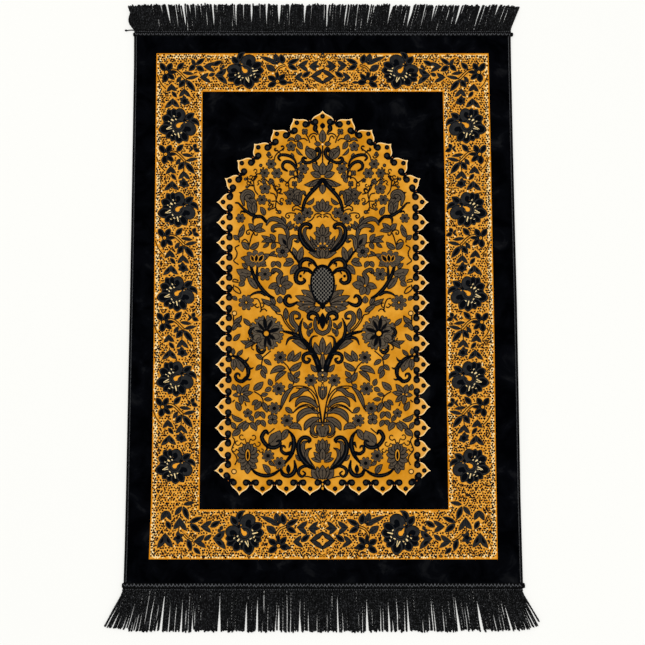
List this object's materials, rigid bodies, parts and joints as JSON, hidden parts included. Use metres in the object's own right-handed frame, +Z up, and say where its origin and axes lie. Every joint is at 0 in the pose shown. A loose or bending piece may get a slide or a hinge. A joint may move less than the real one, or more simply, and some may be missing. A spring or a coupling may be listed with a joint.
{
  "type": "prayer rug",
  "caption": "Flat velvet prayer rug with bound sides, a padded heading and a cut fringe at each end, and a woven gold niche in a patterned border.",
  "frame": {"origin": "centre of the underside, on the surface that the rug lies on, halfway between the two headings", "axes": "+Z up through the pile; +Y along the rug towards the end where the woven niche has its point; +X to the right of someone facing that end"},
  "size_m": [0.7652, 1.1373, 0.006],
  "materials": {
    "velvet": "cut velvet pile, black, with a woven gold and brown pattern in the look",
    "trim": "fuzzy black yarn, sewn",
    "fringe": "twisted black yarn, cut ends"
  },
  "bodies": {
    "root": {"rug_cloth": "velvet", "binding_left": "trim", "binding_right": "trim", "heading_near": "trim", "heading_far": "trim", "fringe_near": "fringe", "fringe_far": "fringe"}
  },
  "joints": []
}
